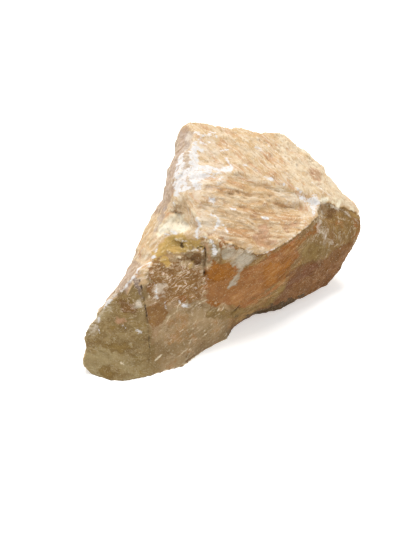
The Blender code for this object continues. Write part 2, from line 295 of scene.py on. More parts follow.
# Breaks to press in: depth and half width in millimetres, then the line in pixels
CLEFTS = [
    (4.2, 1.15, [(204, 247), (205, 254), (204, 262), (205, 274)]),
    (-0.8, 3.0, [(210, 244), (210, 256), (209, 268)]),
    (1.6, 2.2, [(138, 273), (141, 285), (144, 298), (147, 315), (149, 335), (151, 350), (149, 365)]),
    (-3.0, 5.0, [(180, 207), (186, 214), (192, 222)]),
    (-3.0, 4.5, [(174, 217), (180, 217), (186, 221)]),
    (1.0, 1.0, [(182, 211), (183, 212)]),
    (1.0, 1.0, [(193, 223)]),
    (0.8, 1.2, [(231, 314), (236, 310), (240, 306)]),
    (0.5, 1.2, [(95, 338), (105, 342), (118, 346)]),
    (0.5, 1.2, [(105, 325), (113, 335), (121, 344)]),
    (0.6, 1.2, [(94, 352), (110, 356), (128, 352)]),
]
# Small ledges: height and width of the shelf in millimetres, then the line in pixels
LEDGES = [
    (1.3, 7, [(270, 196), (279, 202), (288, 207)]),
    (0.8, 6, [(232, 211), (242, 214), (254, 216)]),
    (0.8, 6, [(257, 200), (264, 203), (270, 206)]),
    (0.5, 5, [(202, 206), (204, 201), (209, 199)]),
    (1.4, 7, [(262, 139), (269, 145), (272, 155)]),
    (1.4, 7, [(298, 164), (307, 172), (315, 179)]),
    (0.6, 7, [(230, 192), (242, 191), (256, 196)]),
    (0.7, 6, [(250, 223), (262, 222), (276, 224)]),
    (0.6, 6, [(262, 232), (272, 238), (286, 236)]),
    (0.6, 6, [(222, 222), (236, 220), (248, 226)]),
    (0.9, 5, [(214, 193), (228, 193), (236, 190), (250, 194), (270, 195)]),
    (0.6, 5, [(219, 198), (228, 198), (238, 200)]),
    (0.6, 5, [(240, 174), (252, 175), (262, 177)]),
    (0.6, 5, [(226, 173), (236, 174), (246, 172)]),
    (0.6, 5, [(246, 184), (262, 186), (280, 190)]),
    (0.7, 5, [(264, 208), (276, 210), (290, 215)]),
    (0.7, 5, [(284, 222), (296, 220), (306, 214)]),
    (0.7, 6, [(274, 148), (284, 154), (296, 160)]),
    (2.0, 5, [(190, 252), (197, 252), (203, 255)]),
    (0.8, 5, [(204, 302), (214, 304), (232, 308)]),
    (0.8, 5, [(268, 298), (280, 286), (294, 271)]),
]
# A ledge drops over this many millimetres. Its rim gets a painted highlight and the foot of its drop painted
# shade: how far above or below the line, how wide, and how far from the line's ends, in millimetres.
LEDGE_DROP = 0.8
RIM_ABOVE = 1.3
RIM_WIDTH = 1.0
RIM_REACH = 2.6
SHADE_BELOW = 0.7
SHADE_WIDTH = 0.8
SHADE_REACH = 1.8
DOWNHILL = np.array((-0.1, -0.8, -0.6))
by_cleft = np.zeros(count)
for depth, half_width, line in CLEFTS:
    distance, _ = nearest(line)
    height -= depth * np.exp(-(distance / half_width) ** 2)
    if depth > DEEP_CLEFT:
        by_cleft = np.maximum(by_cleft, np.exp(-(distance / BRIM_WIDTH) ** 2))
rim_highlight = np.zeros(count)
shade = np.zeros(count)
for rise, shelf, line in LEDGES:
    distance, offset = nearest(line)
    below = offset @ DOWNHILL
    height -= 0.5 * rise * np.tanh(below / LEDGE_DROP) * np.exp(-(distance / shelf) ** 2)
    on_rim = np.exp(-((below + RIM_ABOVE) / RIM_WIDTH) ** 2 - (distance / RIM_REACH) ** 2)
    in_shade = np.exp(-((below - SHADE_BELOW) / SHADE_WIDTH) ** 2 - (distance / SHADE_REACH) ** 2)
    rim_highlight = np.maximum(rim_highlight, on_rim)
    shade = np.maximum(shade, in_shade)

FULL_RELIEF_AT = 8.0     # millimetres above the table; lower down the relief fades out
LEAST_CLEARANCE = 0.2    # millimetres that all but the foot stays above the table
FINE_EDGE_ROUNDS = 3     # how far around is looked at for fine edges and for the large ones
WIDE_WEAR_ROUNDS = 24
above_table = np.clip(places[:, 2] / FULL_RELIEF_AT, 0.0, 1.0)
relieved = places + facing * (height * above_table)[:, None]
relieved[in_foot, 2] = 0.0
relieved[:, 2] = np.where(in_foot, 0.0, np.maximum(relieved[:, 2], LEAST_CLEARANCE))
final_facing = outward(relieved)
edge = np.einsum("ij,ij->i", relieved - spread(relieved, WIDE_WEAR_ROUNDS), final_facing)
fine_edge = np.einsum("ij,ij->i", relieved - spread(relieved, FINE_EDGE_ROUNDS), final_facing)


def keep(name, values):
    """Stores one value for each vertex on the mesh, for the material to read."""
    layer = stone_mesh.attributes.new(name, "FLOAT", "POINT")
    layer.data.foreach_set("value", np.asarray(values, np.float32))


# Borders wander by as much as this, in millimetres: slowly, and in small tatters
BORDER_WANDER = 3.4
STROKE_WANDER = 1.0
BORDER_STRETCH = 1.8
BORDER_LUMPS = [(1.0, 8.0, 11.1), (0.7, 4.0, 13.3), (0.6, 2.2, 17.7)]
tatters = layered(places / (BORDER_STRETCH, 1.0, 1.0), BORDER_LUMPS)
# The pixel of the camera's view at which each vertex stands
from_eye = places - np.array(eye / MM)
how_far = -(from_eye @ np.array(towards_eye))
spots = np.stack([PICTURE_WIDTH / 2 + PIXELS_PER_SLOPE * from_eye @ np.array(picture_right) / how_far,
                  PICTURE_HEIGHT / 2 - PIXELS_PER_SLOPE * from_eye @ np.array(picture_up) / how_far],
                 axis=1)
GRAZING = 0.05         # a surface that faces the camera less than this counts as turned away
MM_PER_PIXEL = 0.92
hidden = share("back_high", "back", "back_toe", "far_end")
mostly_hidden = hidden > 0.5
turned_away = (facing @ np.array(towards_eye) < GRAZING) | mostly_hidden


def depth_inside(outline, wandering=1.0):
    """How many millimetres inside an outline of pixels each vertex stands; less than 0 is outside."""
    within = np.zeros(count, bool)
    nearest_side = np.full(count, np.inf)
    x, y = spots.T
    for (x0, y0), (x1, y1) in zip(outline, outline[1:] + outline[:1]):
        if y0 != y1:
            crosses = ((y0 > y) != (y1 > y)) & (x < (x1 - x0) * (y - y0) / (y1 - y0) + x0)
            within ^= crosses
        run = np.array((x1 - x0, y1 - y0), float)
        part = np.clip((spots - (x0, y0)) @ run / (run @ run), 0.0, 1.0)
        nearest_side = np.minimum(nearest_side,
                                  np.linalg.norm(spots - (x0, y0) - part[:, None] * run, axis=1))
    depth = np.where(within, nearest_side, -nearest_side) * MM_PER_PIXEL
    return np.where(turned_away, -np.inf, depth + BORDER_WANDER * wandering * tatters)


def fade(depth, width):
    """From 0 outside to 1 inside, over this width across a border."""
    return np.clip(0.5 + depth / width, 0.0, 1.0)


# Where each colour lies, first as outlines in pixels
AREAS = {
    "bruise": [
        [(193, 133), (201, 133), (199, 141), (210, 142), (209, 146), (200, 147), (208, 149), (206, 152),
         (198, 153), (200, 164), (212, 165), (224, 168), (232, 166), (232, 171), (224, 173),
         (212, 172), (222, 176), (220, 183), (208, 181), (196, 182), (187, 183), (186, 172), (189, 162),
         (186, 154), (191, 146)],
        [(175, 157), (184, 150), (187, 158), (185, 170), (184, 184), (178, 204), (173, 206), (173, 186)],
        [(180, 168), (188, 168), (190, 189), (181, 193)],
        [(193, 182), (203, 184), (203, 194), (195, 191)],
        [(204, 134), (218, 131), (220, 137), (206, 138)], [(208, 198), (215, 196), (219, 200), (211, 204)],
        [(294, 184), (306, 195), (318, 194), (320, 199), (316, 208), (315, 214), (309, 209), (304, 202)],
    ],
    "haze": [
        [(82, 332), (92, 318), (108, 300), (114, 306), (102, 320), (100, 332), (90, 338)],
        [(132, 297), (142, 297), (143, 308), (135, 309)],
        [(150, 288), (158, 280), (168, 284), (166, 298), (152, 302)],
        [(186, 128), (200, 134), (216, 136), (222, 146), (216, 160), (236, 166), (226, 184), (208, 200),
         (196, 204), (188, 196), (178, 205), (172, 204), (177, 165)],
        [(200, 200), (216, 208), (226, 226), (232, 244), (222, 240), (206, 236), (194, 238), (192, 222)],
        [(206, 194), (222, 192), (226, 206), (210, 210)],
        [(280, 194), (294, 192), (302, 200), (300, 210), (286, 206)],
        [(295, 186), (306, 196), (320, 194), (322, 210), (312, 222), (302, 208)],
        [(224, 241), (236, 245), (256, 250), (258, 257), (240, 254), (224, 250)],
        [(317, 208), (325, 212), (324, 226), (330, 238), (340, 246), (322, 244), (316, 228)],
    ],
    "lilac": [
        [(182, 134), (190, 130), (196, 134), (190, 148), (184, 151)],
        [(160, 214), (164, 206), (168, 206), (163, 220), (156, 232), (152, 234)],
    ],
    "yellow": [
        [(160, 242), (170, 236), (182, 234), (194, 238), (203, 240), (203, 248), (194, 249), (187, 253),
         (178, 255), (168, 253), (156, 257), (153, 260), (152, 252)],
        [(188, 260), (194, 260), (194, 267), (189, 267)],
        [(161, 257), (169, 257), (173, 266), (171, 272), (164, 270)],
    ],
    # umber: painted shade in the pocket under its ledge and in the hollow at the end, and a real brown patch
    # on the toe
    "umber_and_shade": [
        [(176, 255), (187, 255), (193, 251), (204, 252), (203, 266), (197, 268), (190, 262), (178, 262)],
        [(325, 209), (335, 208), (336, 218), (329, 220)],
        [(118, 298), (124, 298), (131, 302), (139, 311), (137, 316), (127, 316), (121, 311), (117, 304)],
    ],
    # painted shade in the recess above the shoulder, and real tan stains at the end and down the front
    "tan_stain_and_shade": [
        [(172, 212), (174, 203), (178, 198), (181, 202), (180, 208)],
        [(318, 202), (326, 205), (338, 212), (324, 216)],
        [(148, 298), (178, 300), (174, 310), (166, 316), (162, 328), (152, 344)],
    ],
    "russet": [
        [(148, 272), (152, 259), (164, 256), (176, 262), (190, 268), (204, 270), (205, 298), (190, 304),
         (164, 302), (148, 300)],
        [(147, 307), (154, 303), (165, 306), (169, 313), (162, 322), (152, 331), (148, 319)],
    ],
    "amber": [
        [(210, 262), (214, 257), (221, 261), (231, 262), (236, 268), (237, 274), (230, 279), (222, 282),
         (208, 282), (205, 276)],
        [(233, 248), (236, 250), (236, 262), (233, 262)],
        [(261, 280), (262, 268), (275, 260), (297, 256), (291, 268), (281, 277), (272, 287), (262, 291)],
        [(262, 257), (284, 246), (304, 236), (318, 220), (322, 224), (312, 236), (290, 248), (268, 259)],
        [(205, 300), (216, 303), (232, 305), (230, 307), (216, 306), (206, 303)],
    ],
    "tawny": [
        [(205, 276), (214, 260), (236, 268), (250, 264), (262, 258), (296, 246), (300, 255), (284, 276),
         (262, 296), (246, 306), (205, 307)],
        [(215, 236), (224, 234), (226, 247), (219, 248)],
        [(352, 221), (358, 221), (357, 228), (352, 227)], [(178, 296), (188, 296), (188, 304), (180, 302)],
        [(238, 304), (258, 300), (260, 305), (242, 308)],
    ],
    "olive_band": [
        [(252, 312), (264, 304), (276, 289), (288, 272), (299, 260), (300, 248), (312, 240), (326, 243),
         (330, 252), (320, 261), (305, 271), (293, 281), (280, 297), (268, 309)],
        [(216, 308), (232, 309), (252, 305), (262, 302), (258, 311), (240, 318), (206, 320), (207, 311)],
        [(115, 292), (124, 290), (131, 298), (139, 306), (136, 314), (126, 309), (118, 312), (114, 303)],
        [(96, 338), (112, 343), (126, 340), (132, 346), (122, 356), (108, 350), (98, 346)],
        [(98, 366), (110, 362), (116, 372), (112, 380), (100, 376)],
    ],
    "liver": [
        [(274, 303), (280, 292), (292, 281), (304, 270), (322, 260), (334, 249), (356, 238), (352, 254),
         (342, 268), (332, 284), (300, 304), (282, 309), (268, 309)],
    ],
    "rust": [
        [(282, 284), (288, 272), (300, 264), (316, 260), (322, 264), (310, 276), (298, 282), (288, 290)],
    ],
    "grey": [
        [(209, 239), (215, 242), (220, 250), (217, 258), (211, 258)],
        [(220, 258), (224, 246), (236, 248), (248, 251), (260, 257), (250, 265), (243, 272), (238, 276),
         (234, 268), (230, 262), (222, 261)],
        [(259, 262), (264, 258), (272, 256), (266, 261)],
        [(226, 288), (232, 282), (240, 275), (236, 284), (230, 291)],
        [(134, 298), (141, 299), (142, 307), (137, 308)],
    ],
    # painted shade: grey-violet in the upper part of the toe's crease
    "crease_shade": [[(136, 274), (140, 284), (144, 298), (140, 301), (137, 290), (132, 280)]],
    "pink": [
        [(252, 234), (258, 226), (266, 224), (272, 230), (270, 238), (278, 240), (266, 250), (257, 246)],
        [(280, 226), (288, 221), (299, 222), (296, 229), (286, 232)],
        [(304, 166), (318, 168), (327, 182), (318, 184)],
        [(112, 318), (118, 316), (128, 319), (138, 316), (134, 321), (124, 322), (118, 325), (113, 321)],
        [(164, 274), (174, 273), (173, 277), (166, 278)],
        [(205, 241), (209, 244), (211, 258), (209, 272), (206, 270), (207, 256)],
        [(254, 200), (266, 199), (276, 206), (262, 210)], [(242, 208), (252, 212), (262, 216), (250, 218)],
        [(296, 204), (304, 206), (306, 216), (298, 212)],
        [(148, 268), (154, 268), (156, 280), (164, 286), (164, 296), (152, 300)],
    ],
    "cream": [
        [(318, 196), (330, 197), (344, 203), (338, 207), (328, 202), (320, 204)],
        [(350, 206), (358, 213), (361, 219), (354, 214)],
        [(158, 226), (172, 214), (182, 211), (190, 221), (196, 232), (186, 234), (168, 234), (154, 244)],
    ],
    # painted shade: dark along the undercut lower edge at the right
    "deep_shade": [
        [(236, 317), (254, 311), (270, 305), (286, 301), (304, 295), (298, 307), (262, 318)],
    ],
}
# ...and then as strokes: half width in millimetres, then the line in pixels
STROKES = {
    "bruise": [
        (2, [(198, 140), (204, 135), (216, 136)]), (1.5, [(200, 142), (206, 144)]),
        (2.6, [(256, 147), (261, 149)]),
        (2.6, [(265, 177), (271, 179)]), (1.5, [(275, 184)]), (1.5, [(284, 184)]), (1.4, [(237, 183)]),
        (1.5, [(221, 151), (228, 150)]), (1.6, [(226, 158), (231, 166)]), (1.6, [(239, 165), (246, 165)]),
        (2.2, [(231, 209), (235, 209)]), (2.2, [(262, 218), (268, 218)]), (1.5, [(300, 217), (305, 221)]),
        (2.6, [(197, 218), (199, 226), (197, 236)]), (2, [(211, 215), (218, 217), (218, 224), (215, 230)]),
        (1.2, [(223, 225), (226, 229), (227, 234)]), (1.6, [(162, 229), (166, 234), (172, 231), (176, 234)]),
        (1, [(175, 205), (174, 200)]), (1, [(297, 189), (303, 195)]),
        (2.2, [(137, 271), (142, 266), (149, 263)]),
        (1.5, [(157, 246), (155, 254), (152, 260), (149, 266)]), (1.4, [(84, 331), (93, 320), (104, 307)]),
        (0.7, [(99, 318), (98, 326), (100, 334)]), (2, [(104, 307), (114, 297), (128, 284), (136, 275)]),
        (2, [(137, 331), (141, 333)]), (1.0, [(123, 326), (126, 328)]),
        (0.8, [(322, 216), (324, 226)]), (0.8, [(325, 235), (328, 242)]),
        (1.2, [(150, 280), (156, 285)]), (1.4, [(156, 290), (157, 298)]),
        (1.6, [(179, 301), (184, 306), (190, 305)]),
        (0.8, [(208, 279), (212, 280)]), (1, [(165, 302), (166, 309)]), (0.8, [(192, 286), (197, 288)]),
        (2.4, [(211, 241), (214, 247), (215, 254)]), (2, [(308, 201), (312, 208), (314, 215)]),
    ],
    "haze": [(2.4, [(324, 203), (336, 208), (348, 214), (358, 222)])],
    "grey": [(2.2, [(243, 268), (235, 278), (228, 288)])],
    # painted highlight: white lines along the sharp lip, the shoulder's edges and the ridge crests
    "lip_highlight": [
        (0.8, [(247, 252), (256, 256), (264, 253), (272, 250), (289, 240), (300, 232), (310, 224),
               (316, 217)]),
        (1, [(192, 251), (195, 249), (199, 251), (204, 252)]), (0.8, [(176, 240), (182, 241), (188, 241)]),
        (0.8, [(196, 234), (203, 237), (207, 238)]), (0.8, [(262, 140), (272, 148), (286, 158), (300, 169)]),
        (0.8, [(312, 182), (322, 189), (331, 196)]),
    ],
    "cream": [(1.6, [(171, 343)]), (0.8, [(153, 362), (157, 359), (162, 355)]),
              (0.6, [(179, 332), (184, 329)]),
              (1.2, [(121, 363), (127, 367)])],
    "yellow": [(1, [(183, 248), (190, 250)])],
    # painted shade: a dark band along the front's bottom edge
    "umber_and_shade": [(1.6, [(156, 374), (170, 370), (184, 363), (202, 351), (214, 346), (228, 336)])],
    # painted shade in a pit on the skyline, in the recess above the shoulder, in the pocket and at the end
    # of the lip
    "deep_shade": [(0.7, [(336, 191), (338, 193)]), (0.5, [(181, 245), (183, 247)]),
             (0.4, [(174, 213), (180, 209), (183, 213)]),
             (0.8, [(177, 241), (182, 243)]), (0.8, [(197, 248), (203, 246)]),
             (0.8, [(317, 204), (321, 206)])],
    # painted shade: dark lines in the cracks and the toe's crease, in two small holes and under one ledge
    "crack_shade": [
        (0.9, [(205, 250), (205, 254), (204, 262), (205, 274)]),
        (0.7, [(138, 273), (141, 285), (144, 298), (147, 315), (149, 335), (150, 350), (149, 364)]),
        (0.2, [(182, 211), (183, 212)]), (0.2, [(193, 223)]),
        (0.5, [(231, 314), (236, 310), (240, 306)]), (0.3, [(271, 197), (279, 203), (288, 207)]),
    ],
}
AREA_FADE = 6.0        # millimetres over which an area's colour fades across its outline
LEAST_FADE = 2.0       # the same for the thinnest stroke
FADE_SHARE = 1.0       # and how much more for each millimetre of a stroke's half width
for name in dict.fromkeys([*AREAS, *STROKES]):
    nearness = np.zeros(count)
    for outline in AREAS.get(name, []):
        nearness = np.maximum(nearness, fade(depth_inside(outline), AREA_FADE))
    for half_width, line in STROKES.get(name, []):
        distance, _ = nearest(line)
        inside = np.where(mostly_hidden, -np.inf, half_width - distance + STROKE_WANDER * tatters)
        nearness = np.maximum(nearness, fade(inside, LEAST_FADE + FADE_SHARE * half_width))
    keep(name, nearness)
keep("rim_highlight", rim_highlight)
keep("shade", shade)
HIDDEN_WEAR_LOSS = 0.5   # the sides that are turned away are less rubbed; a cleft's brims get less pale rub, painted highlight and painted hollow shade
BRIM_EDGE_LOSS = 0.8
keep("edge", edge * (1.0 - HIDDEN_WEAR_LOSS * hidden))
keep("fine_edge", fine_edge * (1.0 - BRIM_EDGE_LOSS * by_cleft))
# The sandy top ends in a sharp lip above the banded front
ABOVE_LIP = [(180, 110), (380, 110), (372, 222), (360, 216), (350, 209), (336, 206), (324, 202), (318, 206),
             (318, 216), (310, 225), (300, 233), (289, 241), (272, 251), (258, 256), (248, 251), (236, 246),
             (226, 243), (214, 240), (180, 240)]
LIP_START = 216.0      # pixels from the left at which the lip starts, and over which it comes in
LIP_COMES_IN = 8.0
LIP_FADE = 2.5         # millimetres across the lip
LIP_WANDERING = 0.5    # the lip wanders by this part of what other borders do
# ... and above the browner pocket at the top of the front
POCKET = [(152, 264), (158, 254), (164, 244), (178, 238), (204, 238), (214, 241), (224, 246), (222, 264),
          (209, 268), (207, 304), (190, 308), (148, 305), (146, 274)]
LEAST_SEEN = 0.4       # keeps the sand of the half hidden sides from growing without end
above_pocket = fade(-depth_inside(POCKET), AREA_FADE)
sandy = share("slope_high", "slope_low", "crown", "crown_end", "shoulder", "flank", "toe_top", "groove",
              "apron")
banding = share("banded", "under", "end")
by_lip = np.where(turned_away, 0.0, np.clip((spots[:, 0] - LIP_START) / LIP_COMES_IN, 0.0, 1.0))
above_lip = fade(depth_inside(ABOVE_LIP, LIP_WANDERING), LIP_FADE)
both = sandy + banding
sandy_by_lip = sandy + by_lip * (above_lip * both - sandy)
keep("sandy", sandy_by_lip * above_pocket / np.maximum(1.0 - hidden, LEAST_SEEN))
keep("banding", banding + by_lip * ((1.0 - above_lip) * both - banding))
keep("steep", share("slope_low"))
keep("summit", share("crown", "crown_end"))
FLANK_SPREAD = 80      # rounds that blur the border between the flank and the hidden side
left_side = share("flank", "toe_top")
keep("flank", spread(left_side, FLANK_SPREAD) * (left_side + hidden))
# The curled flecks lie on the left of the front, below the pocket's top, and thin out low down:
# where they end and how quickly, in pixels or millimetres, and how many are left past that
FLECKS_RIGHT, FLECKS_RIGHT_FADE, FLECKS_PAST_RIGHT = 210.0, 6.0, 0.2
FLECKS_TOP, FLECKS_TOP_FADE, FLECKS_PAST_TOP = 256.0, 8.0, 0.3
FLECKS_LOW, FLECKS_LOW_FADE, FLECKS_PAST_LOW = 38.0, 30.0, 0.45
FLECKS_ON_TOE = 0.7
rising = np.clip((places[:, 2] - FLECKS_LOW) / FLECKS_LOW_FADE, 0.0, 1.0)
left_of = np.clip((FLECKS_RIGHT - spots[:, 0]) / FLECKS_RIGHT_FADE, FLECKS_PAST_RIGHT, 1.0)
below_top = np.clip((spots[:, 1] - FLECKS_TOP) / FLECKS_TOP_FADE, FLECKS_PAST_TOP, 1.0)
keep("flecked", (share("front", "apron") * left_of * below_top * np.maximum(rising, FLECKS_PAST_LOW)
                 + FLECKS_ON_TOE * share("toe") * rising))
# How much less fibrous, and less rubbed pale with a painted highlight on the edges, some sides are than the
# rest
DUSKY_FIBRE_LOSS = 0.5
END_FIBRE_LOSS = 0.5
END_RUB_LOSS = 0.5
HIDDEN_RUB_LOSS = 0.6
# the underside, turned down: its own darker browns, with painted shade laid over them
underside_colour_and_shade = share("under") * (1.0 - share("banded"))
keep("underside_colour_and_shade", underside_colour_and_shade)
keep("fibrous", share("banded", "under", "end") * (1.0 - DUSKY_FIBRE_LOSS * underside_colour_and_shade
                                                   - END_FIBRE_LOSS * share("end")))
keep("olive", share("toe"))
keep("brown_end", share("end") * (1.0 - by_lip * above_lip))
keep("rubbed_and_highlit", (1.0 - share("banded", "under", "toe") - END_RUB_LOSS * share("end")
                - HIDDEN_RUB_LOSS * hidden))
HIDDEN_GAIN = 2.0      # carries the hidden sides' colours a little way around the corner
keep("hidden", np.minimum(HIDDEN_GAIN * spread(hidden, FLANK_SPREAD) * (left_side + hidden), 1.0))

# The way the grain runs is kept for each corner of each small face, so that it changes sharply
# where one broken face meets the next.
corners = np.empty(len(stone_mesh.loops), np.int32)
stone_mesh.loops.foreach_get("vertex_index", corners)
corners = corners.reshape(len(stone_mesh.polygons), -1)
best = shares[corners].sum(1).argmax(1)
grain = np.einsum("fij,fcj->fci", np.array(grain_ways)[best], places[corners])
layer = stone_mesh.attributes.new("grain", "FLOAT_VECTOR", "CORNER")
layer.data.foreach_set("vector", (grain * MM).astype(np.float32).ravel())


def colour(code):
    """A hex colour, as seen on a screen, as the linear values that a shader takes."""
    parts = [int(code[place:place + 2], 16) / 255 for place in (1, 3, 5)]
    return tuple(part / 12.92 if part <= 0.04045 else ((part + 0.055) / 1.055) ** 2.4
                 for part in parts) + (1.0,)


# Calcite, broken and partly weathered: dull, a little waxy on old joints, powdery where struck
calcite = bpy.data.materials.new("honey_calcite_broken")
calcite.use_nodes = True
tree = calcite.node_tree
shader = tree.nodes["Principled BSDF"]


def add(kind, inputs=(), **settings):
    """Adds one node, sets its settings, and links or sets its inputs."""
    made = tree.nodes.new(kind)
    for name, value in settings.items():
        setattr(made, name, value)
    for name, value in dict(inputs).items():
        if isinstance(value, bpy.types.NodeSocket):
            tree.links.new(value, made.inputs[name])
        else:
            made.inputs[name].default_value = value
    return made.outputs


marks = {layer.name: add("ShaderNodeAttribute", attribute_name=layer.name)["Fac"]
         for layer in stone_mesh.attributes if layer.data_type == "FLOAT"}
here = add("ShaderNodeTexCoord")["Object"]
grain_way = add("ShaderNodeAttribute", attribute_name="grain")["Vector"]
LEVEL_WAY = math.radians(-35)
# How a pattern is drawn out: evenly, level across the stone, a little or far along its grain
LEVEL_STRETCH = 2.2
SHORT_SQUEEZE = 0.36
LONG_SQUEEZE = 0.2
ways = {
    "even": here,
    "level": add("ShaderNodeMapping", {"Vector": here, "Rotation": (0.0, 0.0, LEVEL_WAY),
                                       "Scale": (LEVEL_STRETCH, 1.0, 1.0)}, vector_type="TEXTURE")[0],
    "short": add("ShaderNodeMapping", {"Vector": grain_way, "Scale": (SHORT_SQUEEZE, 1.0, 1.0)})[0],
    "long": add("ShaderNodeMapping", {"Vector": grain_way, "Scale": (LONG_SQUEEZE, 1.0, 1.0)})[0],
}
# Patterns: the way each is drawn out, width of a lump in millimetres, detail, roughness, distortion.
# Real powder is far finer than a millimetre, so grit is drawn as coarse as it needs to show.
NOISES = {
    "patch": ("even", 45.0, 5.0, 0.6, 0.0),
    "coarse": ("even", 30.0, 4.0, 0.55, 0.0),
    "cloud": ("even", 16.0, 5.0, 0.7, 0.0),
    "blotch": ("even", 11.0, 5.0, 0.65, 0.0),
    "tatter": ("even", 7.0, 6.0, 0.75, 0.0),
    "lace": ("level", 4.5, 7.0, 0.8, 0.6),
    "speckle": ("even", 2.6, 3.0, 0.7, 0.0),
    "grit": ("even", 1.2, 2.0, 0.6, 0.0),
    "band": ("long", 12.0, 4.0, 0.6, 0.6),
    "wide_streak": ("long", 8.0, 5.0, 0.65, 0.8),
    "streak": ("long", 2.2, 4.0, 0.7, 0.7),
    "thin_streak": ("long", 1.2, 3.0, 0.6, 0.8),
    "curl": ("short", 5.0, 2.0, 0.5, 1.2),
    "small_curl": ("short", 3.2, 2.0, 0.5, 1.4),
}
pattern = {}
for name, (way, width, detail, roughness, distortion) in NOISES.items():
    pattern[name] = add("ShaderNodeTexNoise",
                        {"Vector": ways[way], "Scale": 1.0 / (width * MM), "Detail": detail,
                         "Roughness": roughness, "Distortion": distortion})["Fac"]
CREST_WIDTH = 5.0      # millimetres between the sharp crests of a splintery break
pattern["crests"] = add("ShaderNodeTexNoise",
                        {"Vector": ways["short"], "Scale": 1.0 / (CREST_WIDTH * MM), "Detail": 5.0,
                         "Roughness": 0.55, "Lacunarity": 2.1, "Offset": 0.9, "Gain": 2.0,
                         "Distortion": 0.5}, noise_type="RIDGED_MULTIFRACTAL")["Fac"]
# Flecks are the thin curved lines along which a pattern crosses its middle value
FLECK_HALF = {"curl": 0.035, "small_curl": 0.045}
FLECK_PARTING = {"curl": "blotch", "small_curl": "cloud"}    # the pattern that breaks each up
PARTED_FROM = 0.44
PARTED_TO = 0.54
for name, half in FLECK_HALF.items():
    off_middle = add("ShaderNodeMath", {0: pattern[name], 1: 0.5}, operation="SUBTRACT")[0]
    size = add("ShaderNodeMath", {0: off_middle}, operation="ABSOLUTE")[0]
    line = add("ShaderNodeMapRange", {"Value": size, "From Min": half, "From Max": 0.25 * half})[0]
    parted = add("ShaderNodeMapRange", {"Value": pattern[FLECK_PARTING[name]],
                                        "From Min": PARTED_FROM, "From Max": PARTED_TO})[0]
    pattern[name + "_line"] = add("ShaderNodeMath", {0: line, 1: parted}, operation="MULTIPLY")[0]
pattern["fine_edge"] = marks["fine_edge"]
pattern["edge"] = marks["edge"]

# Coats, each painted over the last: colour, the mark that it keeps to and how firmly, then the
# pattern that breaks it up, where that starts and is full, and how much the coat covers
COATS = [
    # honey-brown stone
    ("#a48a65", None, 0.0, "coarse", 0.38, 0.62, 1.0),
    ("#a06f38", None, 0.0, "cloud", 0.50, 0.66, 0.6),
    ("#6f5030", None, 0.0, "tatter", 0.51, 0.68, 0.5),
    ("#c9b192", None, 0.0, "lace", 0.52, 0.66, 0.45),
    # sandy rough top
    ("#c9a87c", "sandy", 1.0, None, 0.2, 0.8, 1.0),
    ("#d4bc9b", "sandy", 1.0, "blotch", 0.38, 0.62, 1.0),
    ("#c1916a", "sandy", 1.0, "wide_streak", 0.49, 0.66, 0.8),
    ("#ebe1cf", "sandy", 1.0, "streak", 0.50, 0.66, 0.6),
    ("#a0754c", "sandy", 1.0, "thin_streak", 0.55, 0.7, 0.5),
    ("#b98b55", "steep", 1.0, "wide_streak", 0.36, 0.6, 0.45),
    ("#e8dabf", "summit", 1.0, "tatter", 0.36, 0.6, 0.55),
    # painted highlight: pale on the crests of the fine relief
    ("#ede1ca", "sandy", 1.0, "crests", 1.3, 2.2, 0.4),
    ("#ad937e", "flank", 0.6, "cloud", 0.1, 0.36, 0.85),
    ("#c8b4a4", "flank", 0.8, "streak", 0.4, 0.58, 0.8),
    # banded old joint at the front right
    ("#79582c", "banding", 1.0, None, 0.2, 0.8, 1.0),
    ("#927341", "banding", 1.0, "wide_streak", 0.4, 0.6, 1.0),
    ("#94500f", "banding", 1.0, "band", 0.52, 0.62, 0.85),
    ("#c4a670", "banding", 1.0, "thin_streak", 0.56, 0.74, 0.35),
    # the underside: darker browns, partly its own colour and partly painted shade
    ("#6a4626", "underside_colour_and_shade", 1.0, None, 0.3, 0.8, 0.8),
    ("#7f5a36", "underside_colour_and_shade", 1.0, "blotch", 0.38, 0.62, 0.8),
    ("#a9855a", "underside_colour_and_shade", 1.0, "streak", 0.58, 0.74, 0.5),
    ("#7b6436", "olive", 1.0, None, 0.2, 0.8, 0.6),
    ("#907647", "olive", 1.0, "blotch", 0.38, 0.62, 0.6),
    ("#6e542c", "olive", 1.0, "cloud", 0.48, 0.58, 0.65),
    ("#a89165", "olive", 1.0, "tatter", 0.46, 0.6, 0.6),
    ("#86692a", "olive", 1.0, "blotch", 0.53, 0.62, 0.5),
    ("#74582e", "olive", 1.0, "lace", 0.52, 0.64, 0.5),
    ("#a8966c", "olive", 1.0, "coarse", 0.48, 0.62, 0.55),
    ("#6f5a34", "olive", 1.0, "wide_streak", 0.54, 0.7, 0.5),
    ("#c4b592", "olive", 1.0, "curl_line", 0.3, 0.9, 0.4),
    ("#b8a684", "olive", 1.0, "small_curl_line", 0.3, 0.9, 0.3),
    ("#7a5d33", "brown_end", 1.0, None, 0.2, 0.8, 0.7),
    ("#8d6d3a", "brown_end", 1.0, "tatter", 0.46, 0.6, 0.8),
    ("#9c6126", "brown_end", 1.0, "cloud", 0.55, 0.66, 0.5),
    ("#ab9068", "brown_end", 1.0, "lace", 0.52, 0.64, 0.45),
    ("#d6c6ac", "brown_end", 1.0, "curl_line", 0.2, 0.8, 0.5),
    # the sides that are turned away: sandy in some patches, honey in others
    ("#bf9f78", "hidden", 1.0, "patch", 0.3, 0.58, 0.95),
    ("#b59c84", "hidden", 1.0, "coarse", 0.44, 0.6, 0.75),
    ("#a8804e", "hidden", 1.0, "blotch", 0.5, 0.66, 0.6),
    ("#e0cfae", "hidden", 1.0, "streak", 0.52, 0.68, 0.6),
]
